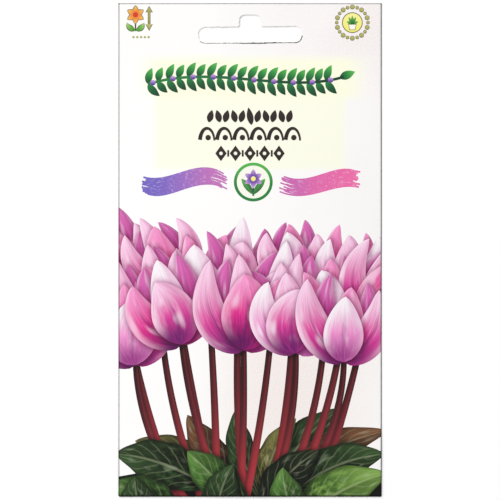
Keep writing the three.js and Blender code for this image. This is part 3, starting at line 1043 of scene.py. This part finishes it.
def sheet_outline():
    """The cut of the whole sheet: the front, the back's parts beside it and the tapered flap."""
    flap = SIDE_FOLD - FLAP_TAPER
    left = [(SHEET_LEFT, BOTTOM_FOLD), (-SIDE_FOLD, BOTTOM_FOLD), (-flap, FLAP_END)]
    right = [(flap, FLAP_END), (SIDE_FOLD, BOTTOM_FOLD), (SHEET_RIGHT, BOTTOM_FOLD)]
    return turned([(SHEET_LEFT, TOP_EDGE), *left, *right, (SHEET_RIGHT, TOP_EDGE)])


def crease_lines():
    """Lines that the mesh must follow, as pairs of ends: the folds and the ramps onto layers."""
    share = np.arange(FOLD_LINES + 2) / (FOLD_LINES + 1)
    side = SIDE_FOLD + SIDE_FOLD_ARC * share
    bottom = BOTTOM_FOLD - BOTTOM_FOLD_ARC * share
    ramp = FLAP_TOP + RAMP_CLEARANCE
    lap = back_left(SEAM_LEFT - RAMP_CLEARANCE)
    lines = [((x, BOTTOM_FOLD), (x, TOP_EDGE)) for x in (*-side, *side)]
    lines += [((-SIDE_FOLD, y), (SIDE_FOLD, y)) for y in bottom]
    lines += [((SHEET_LEFT, y), (SHEET_RIGHT, y)) for y in (ramp, ramp + RAMP, HEADER_BOTTOM)]
    return lines + [((x, BOTTOM_FOLD), (x, TOP_EDGE)) for x in (lap, lap + RAMP)]


def back_left(x):
    """Where x on the back's left part lies on the flat sheet."""
    return -(BACK_START + SIDE_FOLD + x)


def back_right(x):
    return BACK_START + SIDE_FOLD - x


def grid(low, high, step):
    across = np.arange(low[0] + step / 2, high[0], step)
    up = np.arange(low[1] + step / 2, high[1], step)
    return np.stack(np.meshgrid(across, up), -1).reshape(-1, 2)


class Flat:
    """A flat area split into triangles along outlines and lines."""

    def __init__(self):
        self.points = []
        self.edges = []
        self.areas = []

    def add_points(self, points):
        first = len(self.points)
        self.points.extend(Vector(p) for p in points)
        return list(range(first, len(self.points)))

    def add_area(self, outline):
        self.areas.append(self.add_points(outline))

    def add_line(self, ends, step):
        count = math.ceil(np.hypot(*np.subtract(*ends)) / step)
        line = self.add_points(np.linspace(*ends, count + 1))
        self.edges += zip(line[:-1], line[1:])

    def split(self):
        """The points, the triangles, the areas that each lies in and what each given point became."""
        found = delaunay_2d_cdt(self.points, self.edges, self.areas, 0, 1e-4, True)
        points, _, faces, origins, _, areas = found
        became = {old: new for new, olds in enumerate(origins) for old in olds}
        return np.array([tuple(p) for p in points]), np.array(faces), areas, became


def compact(points, faces):
    """The points that the triangles use, the triangles, and the new number of each point."""
    used = np.unique(faces)
    number = np.full(len(points), -1)
    number[used] = np.arange(len(used))
    return points[used], number[faces], number


def slots_in_sheet():
    """The slot as punched through the front and both parts of the back."""
    slot = slot_outline()
    return [slot] + [turned([(where(x), y) for x, y in slot]) for where in (back_left, back_right)]


def printed_side(front_shapes, back_shapes):
    """The printed side of the sheet: its points, its triangles and the shape on each, or -1."""
    flat = Flat()
    flat.add_area(filled_in(sheet_outline(), FRONT_STEP))
    for cut in slots_in_sheet():
        flat.add_area(cut)
    first_shape = len(flat.areas)
    first_back = first_shape + len(front_shapes)
    for shape in front_shapes + back_shapes:
        flat.add_area(filled_in(shape.outline, OUTLINE_STEP))
    for line in crease_lines():
        flat.add_line(line, FRONT_STEP)
    flat.add_points(grid((-SIDE_FOLD, BOTTOM_FOLD), (SIDE_FOLD, TOP_EDGE), FRONT_STEP))
    for left, right in ((SHEET_LEFT, -BACK_START), (BACK_START, SHEET_RIGHT)):
        flat.add_points(grid((left, BOTTOM_FOLD), (right, TOP_EDGE), BACK_STEP))
    points, faces, areas, _ = flat.split()
    x, y = points[faces].mean(1).T
    on_front = (abs(x) < FRONT_REACH) & (y > BOTTOM_FOLD - BOTTOM_FOLD_ARC / 2)
    kept, tops = [], []
    for face, within, front in zip(faces, areas, on_front):
        if 0 not in within or any(0 < area < first_shape for area in within):
            continue
        top = max(within)
        kept.append(face)
        tops.append(top - first_shape if top >= (first_shape if front else first_back) else -1)
    points, faces, _ = compact(points, np.array(kept))
    return points, faces, np.array(tops)


def border_of(faces):
    """The directed edges that only one triangle uses."""
    edges = {(a, b) for face in faces.tolist() for a, b in zip(face, face[1:] + face[:1])}
    return [(a, b) for a, b in edges if (b, a) not in edges]


def plain_side(points, border):
    """The inside of the sheet, split more coarsely, and which of its points each border point is."""
    ends = sorted({end for edge in border for end in edge})
    order = {old: new for new, old in enumerate(ends)}
    flat = Flat()
    flat.add_points(points[ends])
    flat.edges += [(order[a], order[b]) for a, b in border]
    for line in crease_lines():
        flat.add_line(line, INSIDE_STEP)
    flat.add_points(grid((SHEET_LEFT, FLAP_END), (SHEET_RIGHT, TOP_EDGE), INSIDE_STEP))
    inner, faces, _, became = flat.split()
    middles = inner[faces].mean(1)
    keep = inside(sheet_outline(), middles)
    for cut in slots_in_sheet():
        keep &= ~inside(cut, middles)
    inner, faces, number = compact(inner, faces[keep])
    return inner, faces, {old: number[became[new]] for old, new in order.items()}


# ---- Places on the baked picture ----

# Where each part of the sheet starts on the picture, and how much of its width or height it takes
BAKE_LEVEL = (0.006, 0.986)
BAKE_FRONT = (0.006, 0.606)
BAKE_RIGHT = (0.624, 0.18)
BAKE_LEFT = (0.814, 0.18)
BAKE_INSIDE = (np.array([0.632, 0.006]), np.array([0.36, 0.07]))
BAKE_RIM = 0.45


def on_part(place, low, high, part):
    """Where a place between low and high lies on a part of the picture."""
    return part[0] + (place - low) / (high - low) * part[1]


def bake_places(points, middles):
    """Where points lie on the picture that the print is baked into, cut at the side folds."""
    x, y = points.T
    front = on_part(x, -FRONT_REACH, FRONT_REACH, BAKE_FRONT)
    right = on_part(x, FRONT_REACH, SHEET_RIGHT, BAKE_RIGHT)
    left = on_part(x, SHEET_LEFT, -FRONT_REACH, BAKE_LEFT)
    u = np.where(middles > FRONT_REACH, right, np.where(middles < -FRONT_REACH, left, front))
    return np.stack([u, on_part(y, FLAP_END, TOP_EDGE, BAKE_LEVEL)], 1)


def bake_inside(points):
    """The inside of the sheet is plain, so it is small and lies below the parts of the back."""
    low, high = np.array([SHEET_LEFT, FLAP_END]), np.array([SHEET_RIGHT, TOP_EDGE])
    return on_part(points, low, high, BAKE_INSIDE)


def outward(points, border):
    """The direction away from the sheet at each point of its border."""
    ways = np.zeros_like(points)
    for a, b in border:
        run = points[b] - points[a]
        out = np.array([run[1], -run[0]]) / max(np.hypot(*run), 1e-9)
        ways[a] += out
        ways[b] += out
    return ways / np.maximum(np.hypot(*ways.T), 1e-9)[:, None]


# ---- Folding ----


def on_flap(y, ramp=RAMP):
    start = FLAP_TOP + RAMP_CLEARANCE
    return 1 - smooth(y, start, start + ramp)


def on_lap(x, ramp=RAMP):
    end = SEAM_LEFT - RAMP_CLEARANCE
    return smooth(x, end - ramp, end)


def on_seam(x, ramp=RAMP):
    start = SEAM_RIGHT + RAMP_CLEARANCE
    return on_lap(x, ramp) * (1 - smooth(x, start, start + ramp))


def front_height(x, y):
    """How high the front's inner face lies. It spans the edges of the layers below softly."""
    length = (HEADER_BOTTOM - BOTTOM_FOLD) / 2
    across = dome(x / SIDE_FOLD, BULGE_FULLNESS_ACROSS)
    bulge = across * dome((y - BOTTOM_FOLD) / length - 1, BULGE_FULLNESS_ALONG)
    below = on_flap(y, SOFT_RAMP) + on_seam(x, SOFT_RAMP)
    height = LAYER * (1 + below * (1 - bulge)) + BULGE * bulge
    bend = BULGE * across * BULGE_FULLNESS_ALONG / length
    height += bend * np.maximum(SOFT_BEND - abs(y - HEADER_BOTTOM), 0) ** 2 / (4 * SOFT_BEND)
    return height + across * (puckers(x, y) + sachet_relief(x, y))


def puckers(x, y):
    """Slight ripples where the full body meets the header and the bottom."""
    ripple = 1 + np.sin(1.05 * x + 1.4 * np.sin(0.31 * x + 1))
    bands = sum(strong * np.exp(-(((y - high) / reach) ** 2)) for high, reach, strong in PUCKER_BANDS)
    return PUCKER * ripple * bands


def sachet_relief(x, y):
    """How the sachet and its seeds show through the front."""
    across, along = spun(np.stack([x, y], 1) - SACHET_CENTRE, -SACHET_TURN).T
    within = smooth(SACHET_WIDTH / 2 - abs(across), -2, 4)
    within = within * smooth(SACHET_LENGTH / 2 - abs(along), -2, 4)
    relief = SACHET_TRACE * within
    for place in SEED_PLACES:
        away = (across - place[0]) ** 2 + (along - place[1]) ** 2
        relief = relief + SEED_TRACE * np.exp(-away / 2.6)
    return relief


def folded(points, depth):
    """Where points of the flat sheet lie on the packet. depth is 0 outside and PAPER inside."""
    x, y = points.T
    side = np.sign(x)
    out = abs(x)
    outer = PAPER - depth
    radius = SIDE_FOLD_INNER + outer
    front = np.stack([x, y, front_height(x, y) + outer], 1)

    turn = math.pi * (0.5 - (out - SIDE_FOLD) / SIDE_FOLD_ARC)
    low, high = LAYER * on_flap(y) + depth, front_height(side * SIDE_FOLD, y) + outer
    fold_z = (low + high) / 2 + (high - low) / 2 * np.sin(turn)
    fold = np.stack([side * (SIDE_FOLD + radius * np.cos(turn)), y, fold_z], 1)

    back_x = side * (SIDE_FOLD - (out - BACK_START))
    lap = np.where(side < 0, on_lap(back_x), 0)
    back = np.stack([back_x, y, LAYER * (on_flap(y) + lap) + depth], 1)

    below = BOTTOM_FOLD - y
    turn = math.pi * (0.5 - np.clip(below / BOTTOM_FOLD_ARC, 0, 1))
    high = front_height(x, np.full_like(y, BOTTOM_FOLD)) + outer
    middle = (high + depth) / 2
    reach = GLUE + outer
    flap_y = BOTTOM_FOLD - reach * np.cos(turn) + np.maximum(below - BOTTOM_FOLD_ARC, 0)
    flap = np.stack([x, flap_y, middle + (high - middle) * np.sin(turn)], 1)

    place = np.where((out < BACK_START)[:, None], fold, back)
    place = np.where((out <= SIDE_FOLD)[:, None], front, place)
    return np.where((below > 0)[:, None], flap, place) * MM


def shade_at(points, faces, tops, shapes):
    """How dark each triangle's corners are, from the shapes that lie over it close by."""
    shades = np.zeros(faces.shape)
    nearby = [[] for _ in range(len(points))]
    for number, shape in enumerate(shapes):
        if not shape.shades:
            continue
        low, high = shape.outline.min(0) - SHADE_REACH, shape.outline.max(0) + SHADE_REACH
        near = np.flatnonzero(((points >= low) & (points <= high)).all(1))
        if not len(near):
            continue
        edge = filled_in(shape.outline, 0.3)
        moved = points[near] + TOWARDS_LIGHT
        gaps = np.sqrt(((moved[:, None] - edge[None]) ** 2).sum(2).min(1))
        gaps[inside(shape.outline, moved)] = 0
        for index, gap in zip(near, gaps):
            if gap < SHADE_REACH:
                nearby[index].append((number, shape.shades * (1 - gap / SHADE_REACH) ** 1.5))
    for row, (face, top) in enumerate(zip(faces, tops)):
        for column, index in enumerate(face):
            over = [dark for number, dark in nearby[index] if number > top]
            shades[row, column] = max(over, default=0)
    return shades


def write_print(mesh, points, faces, tops, shapes):
    """Gives the printed corners what the material reads. All other corners have zeros."""
    corners = faces.ravel()
    corner_tops = tops.repeat(3)
    place = np.zeros((len(corners), 3))
    kinds = np.zeros((len(corners), 4))
    inks = np.zeros((3, len(corners), 4))
    for top in np.unique(corner_tops[corner_tops >= 0]):
        shape = shapes[top]
        mine = corner_tops == top
        along, across = shape.places(points[corners[mine]])
        place[mine] = np.stack([along, across, np.full(len(along), shape.seed)], 1)
        kinds[mine] = shape.kind
        for ink, colour in zip(inks, shape.inks):
            ink[mine, :3] = colour
    inks[0, :, 3] = corner_tops >= 0
    inks[1, :, 3] = shade_at(points, faces, tops, shapes).ravel()
    flat = np.concatenate([points[corners], np.ones((len(corners), 1))], 1)
    attributes = {"flat_place": flat, "shape_place": place, "shape_kind": kinds}
    attributes.update(zip(("ink_deep", "ink_mid", "ink_light"), inks))
    for name, values in attributes.items():
        kind, field = ("FLOAT_VECTOR", "vector") if values.shape[1] == 3 else ("FLOAT_COLOR", "color")
        padded = np.zeros((len(mesh.loops), values.shape[1]), np.float32)
        padded[: len(values)] = values
        mesh.attributes.new(name, kind, "CORNER").data.foreach_set(field, padded.ravel())


def sharpen(mesh, rims):
    """Makes the edges of the last faces, the sheet's cut rims, sharp."""
    sharp = mesh.attributes.new("sharp_edge", "BOOLEAN", "EDGE")
    number = {key: i for i, key in enumerate(mesh.edge_keys)}
    for face in mesh.polygons[-rims:]:
        for key in face.edge_keys:
            sharp.data[number[key]].value = True


def folded_sheet(front_shapes, back_shapes):
    """The whole packet as one closed mesh, with the print on its outer side."""
    points, faces, tops = printed_side(front_shapes, back_shapes)
    border = border_of(faces)
    inner_points, inner_faces, inner_end = plain_side(points, border)
    inner_faces = inner_faces[:, ::-1]
    first = len(points)
    places = np.concatenate([folded(points, 0), folded(inner_points, PAPER)])
    rims = np.array([(b, a, first + inner_end[a], first + inner_end[b]) for a, b in border])
    mesh = bpy.data.meshes.new("printed_envelope")
    all_faces = faces.tolist() + (first + inner_faces).tolist() + rims.tolist()
    mesh.from_pydata(places.tolist(), [], all_faces)
    slots = np.repeat([0, 1, 2], [len(faces), len(inner_faces), len(rims)])
    mesh.polygons.foreach_set("material_index", slots)
    mesh.polygons.foreach_set("use_smooth", slots < 2)
    sharpen(mesh, len(rims))
    write_print(mesh, points, faces, tops, front_shapes + back_shapes)

    ends = rims[:, :2]
    middles = points[ends].mean(1)[:, 0].repeat(2)
    near, far = points[ends.ravel()], (points + BAKE_RIM * outward(points, border))[ends.ravel()]
    near, far = (bake_places(side, middles).reshape(-1, 2, 2) for side in (near, far))
    baked = np.concatenate(
        [
            bake_places(points[faces.ravel()], points[faces].mean(1)[:, 0].repeat(3)),
            bake_inside(inner_points[inner_faces.ravel()]),
            np.concatenate([near, far[:, ::-1]], 1).reshape(-1, 2),
        ]
    )
    mesh.uv_layers.new(name="OFBake").data.foreach_set("uv", baked.astype(np.float32).ravel())
    return mesh


def add_envelope():
    mesh = folded_sheet(front_print(), back_print())
    for material in (printed_paper(), plain_paper(), cut_paper()):
        mesh.materials.append(material)
    envelope = bpy.data.objects.new("printed_envelope", mesh)
    bpy.context.collection.objects.link(envelope)
    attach(envelope, "root")
    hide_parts("paper_envelope")


def reshape(piece, move):
    """Moves the piece's vertices to where a function puts them, in millimetres."""
    vertices = piece.data.vertices
    places = np.empty(3 * len(vertices))
    vertices.foreach_get("co", places)
    vertices.foreach_set("co", (move(places.reshape(-1, 3)) * MM).ravel())
    piece.data.update()


def in_packet(flat, height):
    """Places of the sachet's own frame in the packet's."""
    return np.column_stack([spun(flat, SACHET_TURN) + SACHET_CENTRE, height + SACHET_LIFT])


def dress(piece, name, finish, node):
    piece.name = piece.data.name = name
    piece.data.materials.append(finish)
    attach(piece, "root")
    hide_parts(node)


def add_foil(name, node, finish, lift, depth):
    """One foil of the sachet, with crimped seals round its pocket and pinked ends."""
    half_size = np.array([SACHET_WIDTH, SACHET_LENGTH]) / 2
    half_pocket = half_size - SACHET_SEAL

    def shaped(cells):
        flat = cells[:, :2] * half_size * 2
        x, y = flat.T
        pocket = dome(flat / half_pocket, POCKET_FULLNESS).prod(1)
        crinkles = 1 + np.sin(0.9 * x + 0.5 * y + np.sin(0.6 * y)) * np.sin(0.4 * x - 0.8 * y)
        crimp = 1 + np.sin(2 * math.pi * y / CRIMP_PITCH)
        height = lift + depth * pocket * (1 - 0.06 * (1 - pocket) * crinkles)
        height += CRIMP_HEIGHT / 2 * crimp * smooth(abs(flat), half_pocket, half_pocket + 1).max(1)
        tooth = abs(x / TOOTH_PITCH % 1 - 0.5) * 2 * smooth(abs(y), half_size[1] - 1, half_size[1])
        return in_packet(np.stack([x, y - np.sign(y) * TOOTH_DEPTH * tooth], 1), height)

    bpy.ops.object.select_all(action="DESELECT")
    across, along = FOIL_CELLS
    bpy.ops.mesh.primitive_grid_add(x_subdivisions=across, y_subdivisions=along, size=1)
    foil = bpy.context.object
    reshape(foil, shaped)
    wall = foil.modifiers.new("foil thickness", "SOLIDIFY")
    wall.thickness = FOIL * MM
    wall.offset = 1
    bpy.ops.object.modifier_apply(modifier=wall.name)
    bpy.ops.object.shade_smooth_by_angle(angle=math.radians(40))
    dress(foil, name, finish, node)


def add_seed(number, place, finish):
    """A rough, lumpy seed. Each one's own number gives it its own lumps."""

    def shaped(ball):
        x, y, z = ball.T
        lumps = np.sin(7 * x + 2.1 * number) + np.sin(6 * y + 1.3 * number) * np.cos(5 * z)
        pits = np.sin(31 * x + number) * np.sin(27 * y + 2 * number) * np.sin(29 * z)
        seed = ball * SEED_SIZE * (1 + 0.09 * lumps.clip(-1, 1) + 0.02 * pits)[:, None]
        height = seed[:, 2] - seed[:, 2].min() + FOIL_SPACE + SACHET_CLEARANCE
        return in_packet(spun(seed[:, :2], number) + place, height)

    bpy.ops.object.select_all(action="DESELECT")
    bpy.ops.mesh.primitive_ico_sphere_add(subdivisions=5, radius=0.5)
    seed = bpy.context.object
    reshape(seed, shaped)
    bpy.ops.object.shade_smooth()
    dress(seed, f"rough_seed_{number}", finish, f"seed_{number}")


def add_sachet():
    foil, seed = silver_foil(), seed_skin()
    add_foil("crimped_back_foil", "sachet_back_foil", foil, 0, 0)
    add_foil("crimped_front_foil", "sachet_front_foil", foil, FOIL_SPACE, POCKET_DEPTH)
    for i, place in enumerate(SEED_PLACES):
        add_seed(i + 1, place, seed)


def dress_glue():
    film = glue_film()
    for name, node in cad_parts.items():
        if "glue" in name:
            node.data.materials.clear()
            node.data.materials.append(film)


def add_floor():
    bpy.ops.object.select_all(action="DESELECT")
    bpy.ops.mesh.primitive_plane_add(size=FLOOR_SIZE)
    floor = bpy.context.object
    floor.name = "floor"
    floor.data.materials.append(pale_floor())
    floor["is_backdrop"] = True


add_camera()
add_studio()
add_envelope()
add_sachet()
dress_glue()
add_floor()

boxes = {"cad": CAD_BOX, "visual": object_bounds()}
{name: [list(corner) for corner in box] for name, box in boxes.items()}
